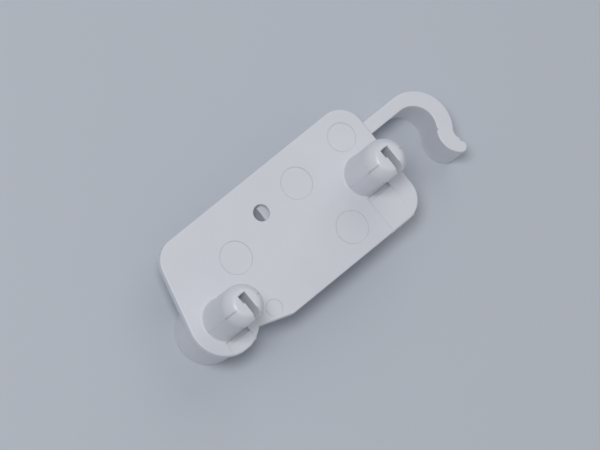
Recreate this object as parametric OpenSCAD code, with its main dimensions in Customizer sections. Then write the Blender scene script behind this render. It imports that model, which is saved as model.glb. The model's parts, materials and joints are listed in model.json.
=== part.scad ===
// Stair gate latch: a moulded mounting plate with two plug-in pegs, and a sprung hook lever
// that swings across the plate's other face on a pivot under one of the pegs.
// Origin: axis of the fixing screw hole, on the plate's mounting face. +Z: the way the pegs point.
// +X: from the pivot end towards the hook. +Y: the way the hook lifts. Sizes in millimetres.

/* [Mounting plate] */
// Width of the plate across its two long edges
plate_w = 30.7; // [26:0.1:37]
// Fixing screw axis to the hook end of the plate
plate_reach = 33.5; // [31.5:0.1:40]
// Fixing screw axis to the nearer long edge
screw_to_edge = 8.3; // [6:0.1:10]
// Thickness of the plate
plate_t = 2.2; // [1.8:0.1:3]
// Radius of the plate's rounded corners
corner_r = 6; // [3:0.1:6.5]
// Radius of the lobe around the pivot
lobe_r = 8.5; // [7.6:0.1:10.2]
// Where the slanted stretch of the far long edge begins, from the screw axis
knee_x = -9.2; // [-11:0.1:-6]
// Slope of that stretch, in degrees
knee_angle = 18; // [14:1:22]

/* [Pivot and second peg] */
// Fixing screw axis to the pivot, along the plate
pivot_back = 23.5; // [21:0.1:28]
// Fixing screw axis to the pivot, across the plate
pivot_down = 13.4; // [12:0.1:14.5]
// Distance between the two pegs along the plate
peg_span = 49.2; // [44:0.1:51]
// How much nearer the screw side of the plate the second peg stands
peg_rise = 5.2; // [3:0.1:7]

/* [Pegs] */
// Radius of each peg
peg_r = 5; // [4.2:0.05:6]
// Height of each peg above the mounting face
peg_h = 18; // [15:0.1:22]
// Height of the round crown that closes each peg
peg_crown = 4; // [2:0.1:4.1]
// Fillet at the foot of each peg
peg_fillet = 0.5; // [0.2:0.1:0.8]
// Width of the slot in each peg's top
slot_w = 2; // [1:0.1:2.6]
// Depth of that slot
slot_depth = 5; // [3:0.1:6]
// How far the slot runs past the peg's centre before it stops
slot_past = 2.1; // [1:0.1:3]
// How much the slot narrows on its open side, where the mould halves meet
slot_step = 0.4; // [0.1:0.1:0.6]
// Width of the moulding slide that forms the snap waist on the open side
slide_w = 6.6; // [5:0.1:6.8]
// How far the open side is cut back at the peg's foot
foot_in = 0.5; // [0.2:0.1:0.8]
// How far it is cut back at the waist
waist_in = 1.3; // [0.9:0.1:1.5]
// How far it is cut back at the lip above the waist
lip_in = 0.7; // [0.4:0.1:0.8]
// Height of the waist above the mounting face
waist_z = 10.5; // [8:0.1:11.5]

/* [Screw holes] */
// Radius of the fixing screw hole
screw_r = 2; // [1.5:0.05:2.5]
// Radius of the countersink at the lever side
sink_r = 3.4; // [2.8:0.05:4]
// Radius of the pivot screw's shank
pin_screw_r = 1.45; // [1.2:0.05:1.6]
// Length of the pivot screw under its head
pin_screw_l = 17; // [14:0.5:20]

/* [Hook lever] */
// Height of the lever, measured along the pivot
lever_h = 11.8; // [10:0.1:15]
// Radius of the hub
hub_r = 7.6; // [7:0.1:9.2]
// Wall of the lever's hollow back
lever_wall = 2; // [1.5:0.1:2.4]
// Fixing screw axis to the end wall of the lever's hollow
lever_end_x = 0.6; // [0:0.1:2]
// Radius of the round bar that the hook holds
grip_r = 5.35; // [4.4:0.05:6.5]
// Fixing screw axis to the centre of that bar, along the plate
grip_x = 43.6; // [42:0.1:50]
// Screw axis to the centre of that bar, across the plate
grip_drop = 7.2; // [5.5:0.1:9]
// Thickness of the hook on the far side of the bar
hook_t = 3.9; // [3:0.1:4.6]
// Radius of the lip at the hook's end
tip_r = 1.4; // [1:0.1:1.8]
// How far the hook swings open, in degrees
open_angle = 40; // [25:1:45]

/* [Pivot] */
// Radius of the plate's spigot that the hub turns on
spigot_r = 3; // [2.6:0.05:3.3]
// Depth of the spring's pocket in the hub
spring_pocket = 5; // [4.4:0.1:5.6]
// Thickness of the hub's web, which is its bearing on the spigot
hub_web = 3.2; // [2.4:0.1:4.2]
// Mean radius of the return spring
spring_r = 4.4; // [4.2:0.05:4.6]
// Diameter of the spring wire
wire_d = 0.7; // [0.5:0.05:0.8]
// Number of turns of the spring
spring_turns = 4.25; // [3.25:1:5.25]
// Radius of the cap over the pivot screw
cap_r = 5.5; // [5.2:0.1:6]
// Thickness of that cap
cap_t = 1.1; // [0.8:0.1:1.4]

/* [Clearances] */
// Gap between the plate and the lever
lever_gap = 0.2; // [0.1:0.05:0.4]
// Running clearance of the hub on its spigot, on the radius
pivot_clear = 0.05; // [0.03:0.01:0.1]
// End play of the hub under the washer
end_play = 0.1; // [0.05:0.05:0.2]
// Clearance around the cap, the washer and the screw, on the radius
seat_clear = 0.1; // [0.05:0.05:0.2]
// Gap left at each swing stop
stop_gap = 0.05; // [0.02:0.01:0.1]

/* [Hidden] */
$fn = 96;
cut = 1;             // how far a cutter runs past the face it opens
overlap = 0.2;       // how far joined shapes run into each other
tuck = 0.01;         // how far inside a round end a slanted side starts

white = "#e9e9ee";
steel = "#b9bcc0";

// Places in plan
pivot = [-pivot_back, -pivot_down];
far_peg = pivot + [peg_span, peg_rise];
top_y = screw_to_edge;
low_y = screw_to_edge - plate_w;
corner_back = [pivot.x + 1.6, top_y - corner_r];
corner_front = [plate_reach - corner_r, top_y - corner_r];
corner_low = [plate_reach - corner_r, low_y + corner_r];
knee = [knee_x, low_y];
knee_end = knee + 12 * [-cos(knee_angle), sin(knee_angle)];

// Heights, downwards from the mounting face
lever_top = -plate_t - lever_gap;
lever_low = lever_top - lever_h;
pocket_floor = lever_top - spring_pocket;
web_low = pocket_floor - hub_web;
spigot_end = web_low - end_play;
washer_t = 0.6;
washer_r = 4.3;
washer_low = spigot_end - washer_t;
head_h = 1.2;
head_r = 2.7;
counterbore_r = washer_r + 3 * seat_clear;
head_gap = 0.2;
hub_low = min(lever_low, washer_low - head_h - head_gap - seat_clear - cap_t);
cap_seat_z = hub_low + cap_t + seat_clear;
cap_skirt_h = 1;
cap_skirt_t = 0.8;
spring_bore_r = spring_r + wire_d / 2 + 0.65;
leg_hole_r = wire_d / 2 + seat_clear;
leg_depth = 1.1;
pilot_r = pin_screw_r + seat_clear / 2;
screw_tip_z = washer_low + pin_screw_l;

// Hook, in plan
grip = [grip_x, -grip_drop];
crown_shift = [0.4, -0.2];
crown_r = grip_r + 3.55;
arm_top = grip.y + crown_shift.y + crown_r;
arm_low = grip.y + grip_r;
bend_angle = -37;
bend_r = 5.5;
bend = grip + (grip_r + bend_r) * [cos(bend_angle), sin(bend_angle)];
bend_in = [bend.x - bend_r + hook_t + 2.7, bend.y - 0.45];
bend_in_r = 2.7;
tip = bend + (bend_r - tip_r) * [cos(235), sin(235)];

// Lever body: its far side runs from the hub past the elbow and back up to the arm
elbow = [9, -9.5];
arm_root = [20, arm_low];
lever_inner = [lever_end_x, arm_low];
rib_t = 1.6;
rib_places = [-9, 6.5];

// Swing stops
stop_r = 1.5;
stop_h = 5;
stop_along = 15;

// Moulding marks on the mounting face: centre x, centre y, radius
mark_depth = 0.12;
ejector_marks = [[11.2, 0.2, 3.8], [27.0, 1.9, 3.4], [15.1, -15.6, 3.9], [-11.8, -4.3, 3.9], [-12.2, -18.6, 2]];
line_w = 0.18;
foot_w = 0.8;
slot_shift = 0.2;
lip_rise = 0.4;
lip_z = peg_h - peg_crown;
foot_depth = 0.7;

function unit(v) = v / norm(v);
function left(v) = [-v.y, v.x];

// Where the tangent from outside point p touches the circle at c: side 1 is left of the way from c to p
function touch(p, c, r, side) =
    let (d = norm(c - p), a = acos(r / d), u = unit(p - c))
    c + r * [u.x * cos(a) - side * u.y * sin(a), u.y * cos(a) + side * u.x * sin(a)];

// Outward normal of the line that touches two circles on the left of the way from c1 to c2
function rim(c1, r1, c2, r2) =
    let (d = norm(c2 - c1), u = unit(c2 - c1), s = (r1 - r2) / d)
    s * u + sqrt(1 - s * s) * left(u);

// Counter-clockwise polygon moved inwards by d
function inset(p, d) =
    let (n = len(p))
    [for (i = [0:n - 1])
        let (a = left(unit(p[i] - p[(i + n - 1) % n])), b = left(unit(p[(i + 1) % n] - p[i])))
        p[i] + (a + b) * d / (1 + a * b)];

function turned(p, c, a) =
    let (v = p - c)
    c + [v.x * cos(a) - v.y * sin(a), v.x * sin(a) + v.y * cos(a)];

lever_touch_low = touch(elbow, pivot, hub_r - tuck, -1);
lever_touch_top = touch(lever_inner, pivot, hub_r - tuck, 1);
lever_body = [lever_touch_low, elbow, arm_root, lever_inner, lever_touch_top];

low_way = unit(elbow - lever_touch_low);
top_way = unit(lever_inner - lever_touch_top);
closed_stop = lever_touch_low + stop_along * low_way - (stop_r + stop_gap) * left(low_way);
open_stop = turned(lever_touch_top + stop_along * top_way + (stop_r + stop_gap) * left(top_way), pivot, open_angle);

module wedge(c, a1, a2, r)
    polygon([c, for (i = [0:4]) c + r * [cos(a1 + (a2 - a1) * i / 4), sin(a1 + (a2 - a1) * i / 4)]]);

module plate_outline() {
    side = rim(pivot, lobe_r, corner_back, corner_r);
    polygon([
        pivot, pivot + (lobe_r - tuck) * side, corner_back + (corner_r - tuck) * side,
        [corner_back.x, top_y], [corner_front.x, top_y],
        [plate_reach, corner_front.y], [plate_reach, corner_low.y],
        [corner_low.x, low_y], knee, knee_end
    ]);
    for (c = [corner_back, corner_front, corner_low]) translate(c) circle(r = corner_r);
    translate(pivot) circle(r = lobe_r);
}

// Upright peg closed by a round crown with a flat top
module peg_rod()
    rotate_extrude() {
        square([peg_r, peg_h - peg_crown]);
        translate([0, peg_h - peg_crown])
            intersection() {
                circle(r = peg_r);
                square([peg_r, peg_crown]);
            }
    }

module peg_foot_fillet()
    rotate_extrude()
        translate([peg_r - overlap, -overlap])
            difference() {
                square(peg_fillet + overlap);
                translate([peg_fillet + overlap, peg_fillet + overlap]) circle(r = peg_fillet);
            }

module peg_body() {
    peg_rod();
    translate([0, 0, -overlap]) cylinder(r = peg_r - overlap, h = 2 * overlap);
    peg_foot_fillet();
}

// The slot is open at one side of the peg, and steps narrower toward that side
module peg_slot() {
    low = slot_shift - slot_w / 2;
    translate([low, slot_shift, peg_h - slot_depth])
        cube([slot_w, slot_past - slot_shift, slot_depth + cut]);
    translate([low + slot_step, -peg_r - cut, peg_h - slot_depth])
        cube([slot_w - slot_step, peg_r + slot_past, slot_depth + cut]);
}

// The open side leans in to the waist and steps out again to a lip
module peg_waist()
    translate([-slide_w / 2, 0, 0]) rotate([90, 0, 90]) linear_extrude(slide_w)
        polygon([
            [-peg_r - cut, -cut], [-peg_r + foot_in, -cut], [-peg_r + foot_in, 0],
            [-peg_r + waist_in, waist_z], [-peg_r + waist_in, lip_z - lip_rise],
            [-peg_r + lip_in, lip_z], [-peg_r + lip_in, peg_h + cut], [-peg_r - cut, peg_h + cut]
        ]);

// Marks that the moulding slide leaves at the foot of each peg and out to the plate's edge
module slide_marks() {
    translate([-slide_w / 2, -peg_r - foot_w, -foot_depth])
        cube([slide_w, foot_w + foot_in, foot_depth + peg_fillet + cut]);
    for (side = [-1, 1])
        translate([side * slide_w / 2 - line_w / 2, -plate_w, -mark_depth])
            cube([line_w, plate_w - peg_r - foot_w / 2, mark_depth + cut]);
}

module mounting_plate()
    color(white)
    difference() {
        union() {
            translate([0, 0, -plate_t]) linear_extrude(plate_t) plate_outline();
            for (c = [pivot, far_peg]) translate(c)
                difference() {
                    peg_body();
                    peg_slot();
                    peg_waist();
                }
            translate([pivot.x, pivot.y, spigot_end]) cylinder(r = spigot_r, h = -spigot_end - plate_t + overlap);
            for (c = [closed_stop, open_stop])
                translate([c.x, c.y, -plate_t - stop_h]) cylinder(r = stop_r, h = stop_h + overlap);
        }
        translate([0, 0, -plate_t - cut]) cylinder(r = screw_r, h = plate_t + 2 * cut);
        translate([0, 0, -plate_t]) cylinder(r1 = sink_r, r2 = screw_r, h = sink_r - screw_r);
        translate([pivot.x, pivot.y, spigot_end - cut]) cylinder(r = pilot_r, h = screw_tip_z - spigot_end + 2 * cut);
        translate([pivot.x + spring_r, pivot.y, -plate_t - cut]) cylinder(r = leg_hole_r, h = leg_depth + cut);
        for (c = [pivot, far_peg]) translate(c) slide_marks();
        for (m = ejector_marks) translate([m.x, m.y, -mark_depth]) cylinder(r = m.z, h = mark_depth + cut);
    }

module hook_outline() {
    intersection() {
        difference() {
            translate(grip + crown_shift) circle(r = crown_r);
            translate(grip) circle(r = grip_r);
        }
        wedge(grip, bend_angle - 2, 90, 2 * crown_r);
    }
    intersection() {
        difference() {
            translate(bend) circle(r = bend_r);
            translate(bend_in) circle(r = bend_in_r);
        }
        wedge(bend, 180 + bend_angle - 2, 235, 2 * bend_r);
    }
    translate(tip) circle(r = tip_r);
}

module lever_outline() {
    arm_end_x = grip.x + crown_shift.x;
    translate(pivot) circle(r = hub_r);
    polygon([
        pivot, lever_touch_low, elbow, arm_root, [arm_end_x, arm_low], [arm_end_x, arm_top],
        [lever_end_x, arm_top], lever_inner, lever_touch_top
    ]);
    hook_outline();
}

// The lever is hollow from the plate's side, with cross ribs
module lever_hollow()
    difference() {
        polygon(inset(lever_body, lever_wall));
        translate(pivot) circle(r = hub_r);
        for (x = rib_places) translate([x, low_y]) square([rib_t, plate_w]);
    }

module hook_lever()
    color(white)
    difference() {
        union() {
            translate([0, 0, lever_low]) linear_extrude(lever_h) lever_outline();
            if (hub_low < lever_low)
                translate([pivot.x, pivot.y, hub_low]) cylinder(r = hub_r, h = lever_low - hub_low + overlap);
        }
        translate([0, 0, lever_low + lever_wall]) linear_extrude(lever_h) lever_hollow();
        translate([pivot.x, pivot.y, hub_low - cut]) {
            cylinder(r = spigot_r + pivot_clear, h = lever_top - hub_low + 2 * cut);
            cylinder(r = counterbore_r, h = web_low - hub_low + cut);
            cylinder(r = cap_r + seat_clear, h = cap_seat_z - hub_low + cut);
        }
        translate([pivot.x, pivot.y, pocket_floor]) {
            cylinder(r = spring_bore_r, h = spring_pocket + cut);
            translate([0, spring_r, -leg_depth]) cylinder(r = leg_hole_r, h = leg_depth + cut);
        }
    }

// Return spring: a close helix with a leg turned up into the plate and one turned down into the hub
spring_top = lever_top - wire_d / 2 - 0.3;
spring_low = pocket_floor + wire_d / 2 + 0.3;
steps = 24 * spring_turns;
coil = [for (i = [0:steps])
    [spring_r, 360 * i / 24, spring_top + (spring_low - spring_top) * i / steps]];
last_turn = 360 * spring_turns;
wire_path = concat(
    [[spring_r, 0, -plate_t + leg_depth - 0.2]],
    coil,
    [[spring_r, last_turn, pocket_floor - leg_depth + 0.2]]
);
sides = 8;

function at(p) = [p.x * cos(p.y), p.x * sin(p.y), p.z];
function way(i) = unit(at(wire_path[min(i + 1, len(wire_path) - 1)]) - at(wire_path[max(i - 1, 0)]));
function ring(i) =
    let (p = wire_path[i], u = [cos(p.y), sin(p.y), 0], v = cross(way(i), u))
    [for (k = [0:sides - 1]) at(p) + wire_d / 2 * (u * cos(360 * k / sides) + v * sin(360 * k / sides))];

module return_spring() {
    count = len(wire_path);
    points = [for (i = [0:count - 1]) each ring(i)];
    skin = [for (i = [0:count - 2], k = [0:sides - 1])
        [i * sides + k, i * sides + (k + 1) % sides, (i + 1) * sides + (k + 1) % sides, (i + 1) * sides + k]];
    first_end = [for (k = [sides - 1:-1:0]) k];
    last_end = [for (k = [0:sides - 1]) (count - 1) * sides + k];
    color(steel) translate(pivot) polyhedron(points, concat(skin, [first_end, last_end]));
}

module pivot_screw() {
    point_h = 1.6;
    recess_w = 0.6;
    recess_l = 3;
    color(steel) translate([pivot.x, pivot.y, washer_low])
        difference() {
            union() {
                translate([0, 0, -head_h]) cylinder(r = head_r, h = head_h);
                translate([0, 0, -overlap]) cylinder(r = pin_screw_r, h = pin_screw_l - point_h + overlap);
                translate([0, 0, pin_screw_l - point_h]) cylinder(r1 = pin_screw_r, r2 = 0.3, h = point_h);
            }
            for (a = [0, 90]) rotate(a)
                translate([-recess_l / 2, -recess_w / 2, -head_h - cut]) cube([recess_l, recess_w, cut + 0.8]);
        }
}

module pivot_washer()
    color(steel) translate([pivot.x, pivot.y, washer_low])
        difference() {
            cylinder(r = washer_r, h = washer_t);
            translate([0, 0, -cut]) cylinder(r = pin_screw_r + seat_clear, h = washer_t + 2 * cut);
        }

module hub_cap() {
    skirt_r = counterbore_r - seat_clear;
    color(white) translate([pivot.x, pivot.y, cap_seat_z - cap_t]) {
        cylinder(r = cap_r, h = cap_t);
        difference() {
            cylinder(r = skirt_r, h = cap_t + cap_skirt_h);
            translate([0, 0, cap_t - overlap]) cylinder(r = skirt_r - cap_skirt_t, h = cap_skirt_h + overlap + cut);
        }
    }
}

mounting_plate();
hook_lever();
return_spring();
pivot_screw();
pivot_washer();
hub_cap();
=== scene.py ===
import json
import math
import random

import bpy
from mathutils import Matrix, Vector

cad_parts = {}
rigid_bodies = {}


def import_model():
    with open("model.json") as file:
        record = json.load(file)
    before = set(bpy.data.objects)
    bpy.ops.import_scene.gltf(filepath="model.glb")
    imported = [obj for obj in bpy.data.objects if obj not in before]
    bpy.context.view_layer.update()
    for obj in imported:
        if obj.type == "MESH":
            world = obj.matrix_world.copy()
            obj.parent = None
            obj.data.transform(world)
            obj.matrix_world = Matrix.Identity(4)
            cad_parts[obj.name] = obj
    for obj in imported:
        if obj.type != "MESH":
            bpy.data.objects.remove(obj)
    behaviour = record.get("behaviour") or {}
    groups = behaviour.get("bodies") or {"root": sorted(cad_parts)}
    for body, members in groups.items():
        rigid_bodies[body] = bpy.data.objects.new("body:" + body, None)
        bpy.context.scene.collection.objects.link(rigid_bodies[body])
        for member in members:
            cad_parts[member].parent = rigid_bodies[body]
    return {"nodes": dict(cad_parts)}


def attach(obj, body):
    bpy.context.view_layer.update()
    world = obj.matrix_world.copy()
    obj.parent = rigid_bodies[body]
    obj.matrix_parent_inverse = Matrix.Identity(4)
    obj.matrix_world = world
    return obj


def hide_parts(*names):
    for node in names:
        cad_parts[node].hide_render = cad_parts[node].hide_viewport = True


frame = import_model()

mm = 0.001
tiny = 0.002 * mm        # two places closer than this are the same place
nearby = 0.02 * mm       # as much as a rounded outline or a CAD face may be off
past = 0.5 * mm          # how far a cutting tool reaches out of the piece
root = 0.5 * mm          # how far a joined piece is sunk in
largeRound, smallRound, tinyRound = 96, 48, 24      # sides of round pieces
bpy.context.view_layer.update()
print("frame loaded:", sorted(frame["nodes"]))

# Places that the pieces share, in the part's own frame: the fixing screw's axis is the origin
pivotAt = Vector((-23.5, -13.4, 0)) * mm
farPegAt = Vector((25.7, -8.2, 0)) * mm
leverTop = -2.4 * mm
leverLow = -14.2 * mm


def pick(piece):
    # only this piece is selected and active, in object mode
    if bpy.context.object and bpy.context.object.mode != "OBJECT":
        bpy.ops.object.mode_set(mode="OBJECT")
    bpy.ops.object.select_all(action="DESELECT")
    piece.select_set(True)
    bpy.context.view_layer.objects.active = piece


def editAll(piece):
    pick(piece)
    bpy.ops.object.mode_set(mode="EDIT")
    bpy.ops.mesh.select_all(action="SELECT")


def editWhere(piece, kind, test):
    # edit mode with the faces, edges or vertices that pass the test selected
    pick(piece)
    bpy.ops.object.mode_set(mode="EDIT")
    bpy.ops.mesh.select_mode(type=kind)
    bpy.ops.mesh.select_all(action="DESELECT")
    bpy.ops.object.mode_set(mode="OBJECT")
    mesh = piece.data
    if kind == "FACE":
        for face in mesh.polygons:
            face.select = test(face.center, face.normal)
    elif kind == "EDGE":
        for edge in mesh.edges:
            start, end = (mesh.vertices[i].co for i in edge.vertices)
            edge.select = test(start, end)
    else:
        for vertex in mesh.vertices:
            vertex.select = test(vertex.co)
    bpy.ops.object.mode_set(mode="EDIT")


def doneEditing():
    bpy.ops.object.mode_set(mode="OBJECT")


def same(a, b, within=tiny):
    return abs(a - b) < within


def roundEdges(piece, width, steps, test):
    editWhere(piece, "EDGE", test)
    bpy.ops.mesh.bevel(offset=width, offset_type="OFFSET", segments=steps, profile=0.5,
                       affect="EDGES", clamp_overlap=False)
    doneEditing()


def allAt(height, within=tiny):
    # a test for edges that lie level at one height
    return lambda a, b: same(a.z, height, within) and same(b.z, height, within)


def carve(piece, tool, operation="DIFFERENCE"):
    # the tool is cut from the piece, or joined to it, and then thrown away
    change = piece.modifiers.new("carve", "BOOLEAN")
    change.operation = operation
    change.solver = "EXACT"
    change.object = tool
    pick(piece)
    bpy.ops.object.modifier_apply(modifier="carve")
    bpy.data.objects.remove(tool)


def join(piece, other):
    carve(piece, other, "UNION")


def addRod(name, centre, low, high, radius, sides=largeRound, topRadius=None):
    # an upright rod, or a cone when it has a top radius of its own
    middle = Vector((centre.x, centre.y, (low + high) / 2))
    if topRadius is None:
        bpy.ops.mesh.primitive_cylinder_add(vertices=sides, radius=radius, depth=high - low, location=middle)
    else:
        bpy.ops.mesh.primitive_cone_add(vertices=sides, radius1=radius, radius2=topRadius,
                                        depth=high - low, location=middle)
    return placed(name)


def addBox(name, low, high):
    size = [b - a for a, b in zip(low, high)]
    middle = [(a + b) / 2 for a, b in zip(low, high)]
    bpy.ops.mesh.primitive_cube_add(size=1, location=middle, scale=size)
    return placed(name)


def placed(name):
    # the new primitive's place and size go into its mesh
    piece = bpy.context.object
    piece.name = name
    pick(piece)
    bpy.ops.object.transform_apply(location=True, rotation=True, scale=True)
    return piece


def copyOf(piece, name, shift):
    twin = piece.copy()
    twin.data = piece.data.copy()
    twin.name = name
    bpy.context.scene.collection.objects.link(twin)
    editAll(twin)
    bpy.ops.transform.translate(value=shift)
    doneEditing()
    return twin


def levelFaces(node, name, height, facing):
    # a copy of the flat faces that a CAD node has at one height, merged into plain outlines
    piece = bpy.data.objects.new(name, frame["nodes"][node].data.copy())
    bpy.context.scene.collection.objects.link(piece)
    editAll(piece)
    bpy.ops.mesh.remove_doubles(threshold=tiny / 4)
    doneEditing()
    editWhere(piece, "FACE", lambda at, normal:
              not (same(at.z, height, nearby) and normal.z * facing > 0.99))
    bpy.ops.mesh.delete(type="FACE")
    bpy.ops.mesh.select_all(action="SELECT")
    bpy.ops.mesh.dissolve_limited(angle_limit=math.radians(0.2))
    doneEditing()
    return piece


def fillOutline(piece):
    # only the outermost loop is kept, and filled with one face, so the holes are gone
    editAll(piece)
    bpy.ops.mesh.region_to_loop()
    bpy.ops.mesh.select_mode(type="EDGE")
    bpy.ops.mesh.select_all(action="INVERT")
    bpy.ops.mesh.delete(type="EDGE")
    bpy.ops.mesh.select_all(action="SELECT")
    bpy.ops.mesh.delete(type="ONLY_FACE")
    doneEditing()
    farthest = max(vertex.co.x for vertex in piece.data.vertices)
    editWhere(piece, "VERT", lambda at: same(at.x, farthest))
    bpy.ops.mesh.select_linked()
    bpy.ops.mesh.select_all(action="INVERT")
    bpy.ops.mesh.delete(type="VERT")
    bpy.ops.mesh.select_all(action="SELECT")
    bpy.ops.mesh.edge_face_add()
    doneEditing()


def raiseFaces(piece, height):
    editAll(piece)
    bpy.ops.mesh.extrude_region_move(TRANSFORM_OT_translate={"value": (0, 0, height)})
    bpy.ops.mesh.select_all(action="SELECT")
    bpy.ops.mesh.normals_make_consistent(inside=False)
    doneEditing()


def finishMesh(piece, name, body, slot, *nodes):
    # clean skin, smooth shading with flat faces left flat, and the piece's place in the frame
    editAll(piece)
    bpy.ops.mesh.remove_doubles(threshold=tiny / 4)
    bpy.ops.mesh.dissolve_degenerate(threshold=tiny / 4)
    bpy.ops.mesh.select_all(action="SELECT")
    bpy.ops.mesh.normals_make_consistent(inside=False)
    doneEditing()
    piece.name = name
    piece.data.name = name
    pick(piece)
    bpy.ops.object.shade_smooth_by_angle(angle=math.radians(32))
    flat = piece.modifiers.new("flat", "WEIGHTED_NORMAL")
    flat.keep_sharp = True
    flat.weight = 80
    bpy.ops.object.modifier_apply(modifier="flat")
    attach(piece, body)
    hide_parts(*nodes)
    print(name, "done:", len(piece.data.polygons), "faces")


peg = {
    "radius": 5.0 * mm,
    "height": 18.0 * mm,
    "crown": 4.0 * mm,           # height of the round crown, which is cut flat on top
    "topEase": 5.0,              # degrees of the crown over which it eases into the flat
    "flatEase": 1.2,             # and how many times that the flat gives way
    "arcSteps": (8, 16, 40),     # of the fillet, the crown and the seam
    "footFillet": 0.5 * mm,
    "slot": (-0.8 * mm, 1.2 * mm),
    "slotStep": 0.4 * mm,        # the slot is narrower by this on its open side
    "stepAt": 0.2 * mm,
    "slotDepth": 5.0 * mm,
    "slotPast": 2.1 * mm,        # the slot stops this far past the middle
    "slotEdge": 0.14 * mm,
    "edgeFrom": 0.5 * mm,        # the slot's edges are rounded from this high on the crown
    "slideWidth": 6.6 * mm,      # width of the moulding slide that forms the open side
    "openSide": ((0.5, 0.0), (1.3, 10.5), (1.3, 13.6), (0.7, 14.0), (0.7, 18.4)),   # cut back, height
    "seamWidth": 0.14 * mm,      # raised line where the mould halves met
    "seamProud": 0.055 * mm,
    "seamFoot": 0.1 * mm,
}


def addProfile(name, points, closed):
    # a chain of edges, or one face, through points given as distance out and height
    mesh = bpy.data.meshes.new(name)
    count = len(points)
    edges = [] if closed else [(i, i + 1) for i in range(count - 1)]
    mesh.from_pydata([(x, 0, z) for x, z in points], edges, [tuple(range(count))] if closed else [])
    piece = bpy.data.objects.new(name, mesh)
    bpy.context.scene.collection.objects.link(piece)
    return piece


def arc(x, z, radius, start, end, steps):
    turns = (math.radians(start + (end - start) * i / steps) for i in range(steps + 1))
    return [(x + radius * math.cos(t), z + radius * math.sin(t)) for t in turns]


def makePeg():
    radius, height, fillet = peg["radius"], peg["height"], peg["footFillet"]
    below = 0.4 * mm             # how far the peg is sunk in the plate, and its tools reach over it
    filletSteps, crownSteps, seamSteps = peg["arcSteps"]
    shoulder = height - peg["crown"]
    steepest = math.degrees(math.asin(peg["crown"] / radius))
    profile = [(0, -below), (radius + fillet, -below)]
    profile += arc(radius + fillet, fillet, fillet, 270, 180, filletSteps)
    profile += arc(0, shoulder, radius, 0, steepest - peg["topEase"], crownSteps)
    flat = radius * math.cos(math.radians(steepest + peg["flatEase"] * peg["topEase"]))
    rim = profile[-1]
    easing = ((rim[0] + 2 * flat) / 3, (rim[1] + 5 * height) / 6)
    profile += [easing, (flat, height), (0, height)]
    whole = addProfile("peg", profile, False)
    turn = whole.modifiers.new("turn", "SCREW")
    turn.steps = largeRound
    turn.render_steps = largeRound
    turn.use_merge_vertices = True
    turn.merge_threshold = tiny / 4
    pick(whole)
    bpy.ops.object.modifier_apply(modifier="turn")
    editAll(whole)
    bpy.ops.mesh.remove_doubles(threshold=tiny / 4)
    bpy.ops.mesh.normals_make_consistent(inside=False)
    doneEditing()

    # slot, open on one side and a step narrower there
    left, right = peg["slot"]
    near, past = left + peg["slotStep"], peg["slotPast"]
    floor, over = height - peg["slotDepth"], height + below
    carve(whole, addBox("openSlot", (near, -2 * radius, floor), (right, past, over)))
    carve(whole, addBox("slot", (left, peg["stepAt"], floor), (near + peg["slotEdge"], past, over)))
    roundEdges(whole, peg["slotEdge"], 2, lambda a, b:
               any(same(a.x, x) and same(b.x, x) for x in (left, near, right))
               and min(a.z, b.z) > shoulder + peg["edgeFrom"] and not same(a.y, b.y))

    # the open side leans in to a waist and steps out again to a lip
    reach = peg["slideWidth"] / 2
    side = addBox("openSide", (-reach, -2 * radius, 0), (reach, -radius, peg["openSide"][-1][1] * mm))
    for back, level in peg["openSide"][1:-1]:
        editAll(side)
        bpy.ops.mesh.bisect(plane_co=(0, 0, level * mm), plane_no=(0, 0, 1), threshold=tiny / 10)
        doneEditing()
    for back, level in peg["openSide"]:
        editWhere(side, "VERT", lambda at: same(at.z, level * mm) and same(at.y, -radius))
        bpy.ops.transform.translate(value=(0, back * mm, 0))
        doneEditing()
    carve(whole, side)

    # fine raised seam up both sides and over the crown, where the mould halves met
    half, proud = peg["seamWidth"] / 2, radius + peg["seamProud"]
    for way, inner in ((1, right + 2 * peg["slotEdge"]), (-1, 2 * peg["slotEdge"] - left)):
        over = [place for place in arc(0, shoulder, proud, 0, 90, seamSteps)
                if place[0] > inner and place[1] < height - half / 4]
        outline = [(inner, peg["seamFoot"]), (proud, peg["seamFoot"])] + over + [(inner, over[-1][1])]
        seam = addProfile("seam", [(way * x, z) for x, z in outline], True)
        editAll(seam)
        bpy.ops.mesh.extrude_region_move(TRANSFORM_OT_translate={"value": (0, 2 * half, 0)})
        bpy.ops.mesh.select_all(action="SELECT")
        bpy.ops.transform.translate(value=(0, -half, 0))
        bpy.ops.mesh.normals_make_consistent(inside=False)
        doneEditing()
        join(whole, seam)
    return whole


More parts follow.
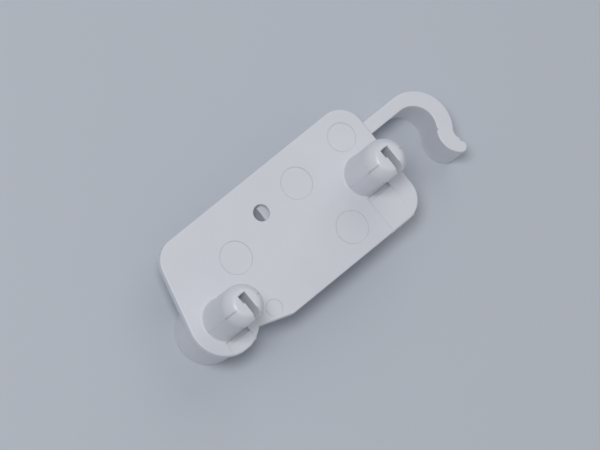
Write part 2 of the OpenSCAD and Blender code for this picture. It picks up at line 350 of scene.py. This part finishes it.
plate = {
    "thickness": 2.2 * mm,
    "rim": 0.32 * mm,            # the edges are softly rounded, as a polished mould leaves them
    "screwRadius": 2.0 * mm,
    "sinkRadius": 3.4 * mm,
    "holeRim": 0.16 * mm,
    "spigotRadius": 3.0 * mm,
    "spigotEnd": -10.7 * mm,
    "spigotRim": 0.3 * mm,
    "pilotRadius": 1.5 * mm,
    "pilotTop": 5.7 * mm,
    "stopRadius": 1.5 * mm,
    "stopLength": 5.0 * mm,
    "springLeg": (4.4 * mm, 0.45 * mm, 1.1 * mm),   # distance from the pivot, radius, depth
}
mouldMarks = {
    "depth": 0.12 * mm,
    "ejectors": ((11.2, 0.2, 3.8), (27.0, 1.9, 3.4), (15.1, -15.6, 3.9),     # x, y and radius, in mm
                 (-11.8, -4.3, 3.9), (-12.2, -18.6, 2.0)),
    "lineWidth": 0.18 * mm,
    "footPocket": (0.8 * mm, 0.7 * mm),             # how far out from the peg, and how deep
    "ring": (0.1 * mm, 0.16 * mm),                  # line round each ejector mark: half width, extra depth
    "scratch": ((9.2, -8.3), (16.4, -8.1)),         # a faint insert line between the hole and the far peg
    "pocketEdge": 0.2 * mm,
    "lineReach": 20 * mm,                           # the lines run out past the plate's edge
    "lowerEdge": -22.4 * mm,
    "lobeRadius": 8.5 * mm,
    "cornerAt": Vector((27.5, -16.4)) * mm,
    "cornerRadius": 6.0 * mm,
    "flashReach": 0.34 * mm,                        # longest tooth of the flash along the edge
    "flashThick": 0.16 * mm,
    "flashTeeth": 22,
    "flashBeyond": 0.3 * mm,                        # how far it runs past the slide's lines
    "flashByLine": 0.5 * mm,                        # it is longest this near to a line
    "flashElsewhere": 0.35,                         # and elsewhere this share of that
    "flashLeast": 0.02 * mm,
    "flashSeed": 4,
}


def stopPlaces():
    # the posts that stop the lever's swing, found from the lowest flat faces that the CAD plate has
    posts = levelFaces("mounting_plate", "posts", -plate["thickness"] - plate["stopLength"], -1)
    near = {}
    for face in posts.data.polygons:
        near.setdefault(round(face.center.x / mm), []).append(face)
    places = []
    for faces in near.values():
        corners = [posts.data.vertices[i].co for face in faces for i in face.vertices]
        low = [min(c[k] for c in corners) for k in range(2)]
        high = [max(c[k] for c in corners) for k in range(2)]
        places.append(Vector(((low[0] + high[0]) / 2, (low[1] + high[1]) / 2, 0)))
    bpy.data.objects.remove(posts)
    return places


def lobeEdge(x):
    return pivotAt.y - math.sqrt(mouldMarks["lobeRadius"] ** 2 - (x - pivotAt.x) ** 2)


def farEdge(x):
    corner, radius = mouldMarks["cornerAt"], mouldMarks["cornerRadius"]
    if x < corner.x:
        return mouldMarks["lowerEdge"]
    return corner.y - math.sqrt(radius ** 2 - (x - corner.x) ** 2)


def makeFlash(middle, edgeAt, luck):
    # ragged fin of plastic that crept between slide and mould, along the plate's edge
    half = peg["slideWidth"] / 2 + mouldMarks["flashBeyond"]
    low = -plate["rim"] - mouldMarks["flashThick"]
    fin = addBox("fin", (middle - half, -2 * past, low), (middle + half, 0, -plate["rim"]))
    editWhere(fin, "EDGE", lambda a, b: same(a.y, b.y) and same(a.z, b.z))
    bpy.ops.mesh.subdivide(number_cuts=mouldMarks["flashTeeth"])
    doneEditing()
    places = sorted(set(round(v.co.x / tiny) for v in fin.data.vertices))
    teeth = {}
    for place in places:
        fromLine = abs(abs(place * tiny - middle) - peg["slideWidth"] / 2)
        share = 1 if fromLine < mouldMarks["flashByLine"] else mouldMarks["flashElsewhere"]
        tooth = mouldMarks["flashReach"] * (luck.random() ** 2) * share
        teeth[place] = max(tooth, mouldMarks["flashLeast"])
    for vertex in fin.data.vertices:
        inner = same(vertex.co.y, 0)
        edge = edgeAt(vertex.co.x)
        vertex.co.y = edge + root if inner else edge - teeth[round(vertex.co.x / tiny)]
    return fin


def makePlate():
    thickness = plate["thickness"]
    low = -thickness
    body = levelFaces("mounting_plate", "plateBody", low, -1)
    fillOutline(body)
    raiseFaces(body, thickness)
    for height in (0, low):
        roundEdges(body, plate["rim"], 3, allAt(height))

    first = makePeg()
    second = copyOf(first, "farPeg", farPegAt)
    editAll(first)
    bpy.ops.transform.translate(value=pivotAt)
    doneEditing()
    join(body, first)
    join(body, second)

    spigot = addRod("spigot", pivotAt, plate["spigotEnd"], low + root, plate["spigotRadius"])
    roundEdges(spigot, plate["spigotRim"], 2, allAt(plate["spigotEnd"]))
    join(body, spigot)
    stopEnd = low - plate["stopLength"]
    for place in stopPlaces():
        post = addRod("post", place, stopEnd, low + root, plate["stopRadius"], smallRound)
        roundEdges(post, plate["rim"], 3, allAt(stopEnd))
        join(body, post)

    # holes: fixing screw with its countersink, pivot screw's pilot, spring leg
    centre = Vector((0, 0, 0))
    carve(body, addRod("screwHole", centre, low - past, past, plate["screwRadius"]))
    deep = plate["sinkRadius"] - plate["screwRadius"]
    carve(body, addRod("sink", centre, low - past, low + deep, plate["sinkRadius"] + past,
                       topRadius=plate["screwRadius"]))
    carve(body, addRod("pilot", pivotAt, plate["spigotEnd"] - past, plate["pilotTop"],
                       plate["pilotRadius"], smallRound))
    away, radius, depth = plate["springLeg"]
    carve(body, addRod("legHole", pivotAt + Vector((away, 0, 0)), low - past, low + depth, radius, tinyRound))
    roundEdges(body, plate["holeRim"], 3, lambda a, b:
               same(a.z, 0) and same(b.z, 0) and same(a.xy.length, plate["screwRadius"], nearby)
               and same(b.xy.length, plate["screwRadius"], nearby))

    # marks of the mould: ejector pins, slide lines, foot pockets, and the flash where the lines meet the edge
    deep, reach, half = mouldMarks["depth"], peg["slideWidth"] / 2, mouldMarks["lineWidth"] / 2
    narrow, extra = mouldMarks["ring"]
    for x, y, radius in mouldMarks["ejectors"]:
        at, radius = Vector((x, y, 0)) * mm, radius * mm
        ring = addRod("ring", at, -deep - extra, past, radius + narrow)
        carve(ring, addRod("ringInside", at, -2 * past, 2 * past, radius - narrow))
        carve(body, ring)
        carve(body, addRod("ejector", at, -deep, past, radius))
    out, down = mouldMarks["footPocket"]
    under = peg["openSide"][0][0] * mm
    for at in (pivotAt, farPegAt):
        foot = at.y - peg["radius"]
        pocket = addBox("pocket", (at.x - reach, foot - out, -down), (at.x + reach, foot + under, nearby))
        roundEdges(pocket, mouldMarks["pocketEdge"], 2, lambda a, b:
                   same(a.y, foot - out) and same(b.y, foot - out))
        carve(body, pocket)
        for side in (-1, 1):
            x = at.x + side * reach
            carve(body, addBox("line", (x - half, foot - mouldMarks["lineReach"], -deep),
                               (x + half, foot - out / 2, past)))
    start, end = mouldMarks["scratch"]
    carve(body, addBox("insertLine", (start[0] * mm, start[1] * mm - half / 2, -deep / 2),
                       (end[0] * mm, start[1] * mm + half / 2, past)))
    luck = random.Random(mouldMarks["flashSeed"])
    join(body, makeFlash(pivotAt.x, lobeEdge, luck))
    join(body, makeFlash(farPegAt.x, farEdge, luck))
    return body


mountingPlate = makePlate()
finishMesh(mountingPlate, "mountingPlate", "plate", "plate_plastic", "mounting_plate")


lever = {
    "rim": 0.28 * mm,            # soft edges all round the hook, pleasant to the finger
    "floor": 2.0 * mm,           # thickness under the hollow back
    "hollowRim": 0.5 * mm,
    "bore": 3.05 * mm,
    "springPocket": (5.4 * mm, -7.4 * mm),          # radius, floor
    "counterbore": (4.6 * mm, -10.6 * mm),
    "capSeat": (5.6 * mm, -13.0 * mm),
    "boreRim": 0.2 * mm,
    "legHole": (4.4 * mm, 0.45 * mm, 1.1 * mm),     # distance from the pivot, radius, depth
    "gate": (Vector((9.5, -4.6, 0)) * mm, 1.5 * mm, 0.25 * mm),   # sprue dimple: place, radius, depth
}


def makeLever():
    body = levelFaces("hook_lever", "leverBody", leverLow, -1)
    fillOutline(body)
    raiseFaces(body, leverTop - leverLow)
    for height in (leverLow, leverTop):
        roundEdges(body, lever["rim"], 4, allAt(height))

    floor = leverLow + lever["floor"]
    hollow = levelFaces("hook_lever", "hollow", floor, 1)
    raiseFaces(hollow, leverTop - floor + past)
    roundEdges(hollow, lever["hollowRim"], 3, allAt(floor))
    carve(body, hollow)

    carve(body, addRod("bore", pivotAt, leverLow - past, leverTop + past, lever["bore"]))
    for key in ("counterbore", "capSeat"):
        radius, top = lever[key]
        carve(body, addRod(key, pivotAt, leverLow - past, top, radius))
    radius, bottom = lever["springPocket"]
    carve(body, addRod("springPocket", pivotAt, bottom, leverTop + past, radius))
    away, radius, depth = lever["legHole"]
    carve(body, addRod("legHole", pivotAt + Vector((0, away, 0)), bottom - depth, bottom + past,
                       radius, tinyRound))
    seat = lever["capSeat"][0]
    pocket = lever["springPocket"][0]

    def isMouth(a, b):
        for radius, height in ((seat, leverLow), (pocket, leverTop)):
            if all(same(p.z, height) and same((p - pivotAt).xy.length, radius, nearby) for p in (a, b)):
                return True
        return False

    roundEdges(body, lever["boreRim"], 2, isMouth)
    at, radius, depth = lever["gate"]
    dimple = addRod("gate", at, leverLow - past, leverLow + depth, radius, smallRound)
    roundEdges(dimple, depth * 0.9, 4, allAt(leverLow + depth))
    carve(body, dimple)
    return body


hookLever = makeLever()
finishMesh(hookLever, "hookLever", "lever", "lever_plastic", "hook_lever")


cap = {
    "radius": 5.5 * mm,
    "low": -14.1 * mm,
    "thick": 1.1 * mm,
    "edge": 0.35 * mm,
    "skirtRadius": 4.5 * mm,
    "skirtHeight": 1.0 * mm,
    "skirtWall": 0.8 * mm,
    "skirtEdge": 0.2 * mm,
    "skirtRoot": 0.3 * mm,             # how deep the skirt is sunk in the disc
    "dimple": (1.6 * mm, 0.2 * mm),    # gate dimple in the middle: radius, depth
    "pryNotch": (1.6 * mm, 0.7 * mm),  # width and depth of the notch for lifting the cap
}


def makeCap():
    low = cap["low"]
    high = low + cap["thick"]
    disc = addRod("capDisc", pivotAt, low, high, cap["radius"])
    skirtTop = high + cap["skirtHeight"]
    roundEdges(disc, cap["edge"], 4, allAt(low))
    skirt = addRod("skirt", pivotAt, high - cap["skirtRoot"], skirtTop, cap["skirtRadius"])
    roundEdges(skirt, cap["skirtEdge"], 2, allAt(skirtTop))
    join(disc, skirt)
    carve(disc, addRod("inside", pivotAt, high, high + 2 * cap["skirtHeight"],
                       cap["skirtRadius"] - cap["skirtWall"]))
    radius, depth = cap["dimple"]
    carve(disc, addRod("dimple", pivotAt, low - 2 * past, low + depth, radius, smallRound))
    width, deep = cap["pryNotch"]
    edge = pivotAt.x + cap["radius"]
    carve(disc, addBox("notch", (edge - deep, pivotAt.y - width / 2, low - 2 * past),
                       (edge + 2 * past, pivotAt.y + width / 2, low + cap["thick"] / 2)))
    return disc


hubCap = makeCap()
finishMesh(hubCap, "hubCap", "lever", "lever_plastic", "hub_cap")


def fromHex(code):
    # sRGB hex to linear colour
    parts = [int(code[i:i + 2], 16) / 255 for i in (1, 3, 5)]
    return tuple(p / 12.92 if p <= 0.04045 else ((p + 0.055) / 1.055) ** 2.4 for p in parts) + (1.0,)


def addNode(tree, kind, settings=None, links=None):
    # one node, with its settings or socket values, and what its sockets are fed from
    node = tree.nodes.new(kind)
    for key, value in (settings or {}).items():
        if isinstance(key, str) and hasattr(node, key):
            setattr(node, key, value)
        else:
            node.inputs[key].default_value = value
    for key, source in (links or {}).items():
        tree.links.new(source, node.inputs[key])
    return node


def newMaterial(name):
    material = bpy.data.materials.new(name)
    material.use_nodes = True
    tree = material.node_tree
    tree.nodes.clear()
    place = addNode(tree, "ShaderNodeTexCoord").outputs["Object"]
    return material, tree, place


def dress(node, material):
    # the CAD nodes that stay take the material in their own slots
    mesh = frame["nodes"][node].data
    if mesh.materials:
        for i in range(len(mesh.materials)):
            mesh.materials[i] = material
    else:
        mesh.materials.append(material)


whitePlastic = {
    "light": "#e9eaef",
    "shade": "#dfe1e8",          # where the melt cooled slower it is a touch greyer
    "speck": "#8b8177",
    "roughLow": 0.30,
    "roughHigh": 0.44,
    "grain": 0.35 * mm,          # spark-eroded grain of the mould, drawn a little coarse so that it shows
    "grainDepth": 0.006 * mm,
    "wave": 7.0 * mm,            # slight sink and flow waves over the wall
    "waveDepth": 0.05 * mm,
    "cloud": 16.0 * mm,
    "scuff": 1.1 * mm,
    "speckGap": 8.0 * mm,
    "speckSize": 0.03,           # share of the gap
}


def makeWhiteAbs(name, offset):
    # White ABS, injection moulded: opaque, faintly translucent at thin edges, semi-gloss with a fine
    # mould grain, so highlights are broad and soft, with slow waves where the wall sank
    look = whitePlastic
    material, tree, place = newMaterial(name)
    moved = addNode(tree, "ShaderNodeMapping", {"Location": offset}, {"Vector": place}).outputs["Vector"]
    cloud = addNode(tree, "ShaderNodeTexNoise", {"Scale": 1 / look["cloud"], "Detail": 2.0},
                    {"Vector": moved})
    tone = addNode(tree, "ShaderNodeMix", {"data_type": "RGBA", 6: fromHex(look["light"]),
                                            7: fromHex(look["shade"])}, {0: cloud.outputs["Fac"]})
    # sparse dust specks: only some of the cells carry one
    cells = addNode(tree, "ShaderNodeTexVoronoi", {"Scale": 1 / look["speckGap"]}, {"Vector": moved})
    dot = addNode(tree, "ShaderNodeMath", {"operation": "LESS_THAN", 1: look["speckSize"]},
                  {0: cells.outputs["Distance"]})
    chosen = addNode(tree, "ShaderNodeSeparateColor", {}, {"Color": cells.outputs["Color"]})
    some = addNode(tree, "ShaderNodeMath", {"operation": "GREATER_THAN", 1: 0.55}, {0: chosen.outputs["Red"]})
    both = addNode(tree, "ShaderNodeMath", {"operation": "MULTIPLY"}, {0: dot.outputs[0], 1: some.outputs[0]})
    faint = addNode(tree, "ShaderNodeMath", {"operation": "MULTIPLY", 1: 0.6}, {0: both.outputs[0]})
    colour = addNode(tree, "ShaderNodeMix", {"data_type": "RGBA", 7: fromHex(look["speck"])},
                     {0: faint.outputs[0], 6: tone.outputs[2]})
    # gloss varies with handling scuffs
    scuff = addNode(tree, "ShaderNodeTexNoise", {"Scale": 1 / look["scuff"], "Detail": 4.0, "Roughness": 0.6},
                    {"Vector": moved})
    rough = addNode(tree, "ShaderNodeMapRange", {"From Min": 0.35, "From Max": 0.7,
                                                "To Min": look["roughLow"], "To Max": look["roughHigh"]},
                    {"Value": scuff.outputs["Fac"]})
    wave = addNode(tree, "ShaderNodeTexNoise", {"Scale": 1 / look["wave"], "Detail": 1.0}, {"Vector": moved})
    slow = addNode(tree, "ShaderNodeBump", {"Strength": 1.0, "Distance": look["waveDepth"]},
                   {"Height": wave.outputs["Fac"]})
    grain = addNode(tree, "ShaderNodeTexNoise", {"Scale": 1 / look["grain"], "Detail": 3.0},
                    {"Vector": moved})
    fine = addNode(tree, "ShaderNodeBump", {"Strength": 1.0, "Distance": look["grainDepth"]},
                   {"Height": grain.outputs["Fac"], "Normal": slow.outputs["Normal"]})
    shader = addNode(tree, "ShaderNodeBsdfPrincipled",
                     {"IOR": 1.53, "Subsurface Weight": 0.12, "Subsurface Radius": (1.0, 1.0, 1.15),
                      "Subsurface Scale": 0.9 * mm},
                     {"Base Color": colour.outputs[2], "Roughness": rough.outputs["Result"],
                      "Normal": fine.outputs["Normal"]})
    addNode(tree, "ShaderNodeOutputMaterial", {}, {"Surface": shader.outputs["BSDF"]})
    return material


springSteel = {"wire": "#8e9093", "dark": "#5f6062", "draw": 0.25 * mm}
zincSteel = {"bright": "#c4c8cf", "warm": "#cfcbb8", "patch": 1.6 * mm, "ring": 0.28 * mm}


def makeSpringSteel():
    # Drawn spring steel wire, oiled: grey and glossy, with fine streaks from the die
    material, tree, place = newMaterial("springSteelDrawn")
    streaks = addNode(tree, "ShaderNodeTexNoise", {"Scale": 1 / springSteel["draw"], "Detail": 3.0},
                      {"Vector": place})
    colour = addNode(tree, "ShaderNodeMix", {"data_type": "RGBA", 6: fromHex(springSteel["wire"]),
                                            7: fromHex(springSteel["dark"])}, {0: streaks.outputs["Fac"]})
    rough = addNode(tree, "ShaderNodeMapRange", {"To Min": 0.25, "To Max": 0.42},
                    {"Value": streaks.outputs["Fac"]})
    bump = addNode(tree, "ShaderNodeBump", {"Strength": 0.6, "Distance": 0.01 * mm},
                   {"Height": streaks.outputs["Fac"]})
    shader = addNode(tree, "ShaderNodeBsdfPrincipled", {"Metallic": 1.0},
                     {"Base Color": colour.outputs[2], "Roughness": rough.outputs["Result"],
                      "Normal": bump.outputs["Normal"]})
    addNode(tree, "ShaderNodeOutputMaterial", {}, {"Surface": shader.outputs["BSDF"]})
    return material


def makeZincSteel():
    # Steel, bright zinc plated after turning and stamping: pale, a little yellow in patches, turned rings
    material, tree, place = newMaterial("zincPlatedSteel")
    centred = addNode(tree, "ShaderNodeMapping", {"Location": -pivotAt}, {"Vector": place})
    patch = addNode(tree, "ShaderNodeTexNoise", {"Scale": 1 / zincSteel["patch"], "Detail": 2.0},
                    {"Vector": place})
    colour = addNode(tree, "ShaderNodeMix", {"data_type": "RGBA", 6: fromHex(zincSteel["bright"]),
                                            7: fromHex(zincSteel["warm"])}, {0: patch.outputs["Fac"]})
    rings = addNode(tree, "ShaderNodeTexWave", {"wave_type": "RINGS", "rings_direction": "Z",
                                               "Scale": 0.314 / zincSteel["ring"], "Distortion": 0.4},
                    {"Vector": centred.outputs["Vector"]})
    bump = addNode(tree, "ShaderNodeBump", {"Strength": 0.5, "Distance": 0.008 * mm},
                   {"Height": rings.outputs["Fac"]})
    rough = addNode(tree, "ShaderNodeMapRange", {"To Min": 0.22, "To Max": 0.36},
                    {"Value": patch.outputs["Fac"]})
    shader = addNode(tree, "ShaderNodeBsdfPrincipled", {"Metallic": 1.0},
                     {"Base Color": colour.outputs[2], "Roughness": rough.outputs["Result"],
                      "Normal": bump.outputs["Normal"]})
    addNode(tree, "ShaderNodeOutputMaterial", {}, {"Surface": shader.outputs["BSDF"]})
    return material


plateAbs = makeWhiteAbs("whiteAbsPlate", (0.003, 0.011, 0.002))
leverAbs = makeWhiteAbs("whiteAbsLever", (0.041, 0.027, 0.013))
for piece, material in ((mountingPlate, plateAbs), (hookLever, leverAbs), (hubCap, leverAbs)):
    piece.data.materials.clear()
    piece.data.materials.append(material)
for node in ("mounting_plate", "hook_lever", "hub_cap"):
    dress(node, plateAbs if node == "mounting_plate" else leverAbs)
dress("return_spring", makeSpringSteel())
zinc = makeZincSteel()
dress("pivot_screw", zinc)
dress("pivot_washer", zinc)
print("materials made")


studio = {
    "floor": "#c9ced6",
    "floorSize": 3.0,
    "paperGrain": 1.2 * mm,
    "keyFrom": Vector((-0.34, 0.16, 1.0)),
    "keyAway": 1.1,
    "keySize": 0.30,
    "keyPower": 4.4,
    "fillFrom": Vector((0.7, 0.5, 0.9)),
    "fillAway": 1.3,
    "fillSize": 1.2,
    "fillPower": 2.0,
    "sky": "#e8ecf2",
    "skyStrength": 0.36,
}


def makeFloor():
    bpy.ops.mesh.primitive_plane_add(size=studio["floorSize"], location=(0, 0, leverLow))
    floor = placed("studioFloor")
    material, tree, place = newMaterial("palePaper")   # matte card, pressed: no gloss, a hardly visible tooth
    tooth = addNode(tree, "ShaderNodeTexNoise", {"Scale": 1 / studio["paperGrain"], "Detail": 3.0},
                    {"Vector": place})
    bump = addNode(tree, "ShaderNodeBump", {"Strength": 0.3, "Distance": 0.03 * mm},
                   {"Height": tooth.outputs["Fac"]})
    shader = addNode(tree, "ShaderNodeBsdfPrincipled",
                     {"Base Color": fromHex(studio["floor"]), "Roughness": 0.75},
                     {"Normal": bump.outputs["Normal"]})
    addNode(tree, "ShaderNodeOutputMaterial", {}, {"Surface": shader.outputs["BSDF"]})
    floor.data.materials.append(material)


def addSoftbox(name, way, away, size, power):
    place = way.normalized() * away
    bpy.ops.object.light_add(type="AREA", location=place)
    light = bpy.context.object
    light.name = name
    light.data.shape = "DISK"
    light.data.size = size
    light.data.energy = power
    light.rotation_euler = (-way).to_track_quat("-Z", "Y").to_euler()


def makeSky():
    world = bpy.data.worlds.new("studioSky")
    world.use_nodes = True
    back = world.node_tree.nodes["Background"]
    back.inputs["Color"].default_value = fromHex(studio["sky"])
    back.inputs["Strength"].default_value = studio["skyStrength"]
    bpy.context.scene.world = world


view = {
    "azimuth": math.radians(-1.5),     # the camera stands on the pivot's side of the part
    "tilt": math.radians(21.81),       # and leans this far from straight above
    "roll": math.radians(52.5),
    "distance": 1.5945,
    "lens": 420.0,
    "sensor": 36.0,
    "sideways": -8.72 * mm,            # where the part's origin falls, from the middle of the view
    "upwards": 2.80 * mm,
}


def makeCamera():
    azimuth, tilt, roll = view["azimuth"], view["tilt"], view["roll"]
    back = Vector((-math.sin(tilt) * math.cos(azimuth), -math.sin(tilt) * math.sin(azimuth), math.cos(tilt)))
    along = Vector((math.cos(azimuth), math.sin(azimuth), 0))
    up = (along - along.dot(back) * back).normalized()
    right = up.cross(back)
    turnedRight = math.cos(roll) * right + math.sin(roll) * up
    turnedUp = -math.sin(roll) * right + math.cos(roll) * up
    place = back * view["distance"] - turnedRight * view["sideways"] - turnedUp * view["upwards"]
    bpy.ops.object.camera_add(location=place)
    camera = bpy.context.object
    camera.name = "studioCamera"
    camera.data.sensor_width = view["sensor"]
    camera.data.lens = view["lens"]
    camera.data.clip_start = 0.1
    camera.data.clip_end = 20
    rows = zip(turnedRight, turnedUp, back)
    camera.rotation_mode = "QUATERNION"
    camera.rotation_quaternion = Matrix(list(rows)).to_quaternion()
    bpy.context.scene.camera = camera


makeFloor()
addSoftbox("keySoftbox", studio["keyFrom"], studio["keyAway"], studio["keySize"], studio["keyPower"])
addSoftbox("fillSoftbox", studio["fillFrom"], studio["fillAway"], studio["fillSize"], studio["fillPower"])
makeSky()
makeCamera()
bpy.context.scene.view_settings.view_transform = "Standard"
print("studio ready")
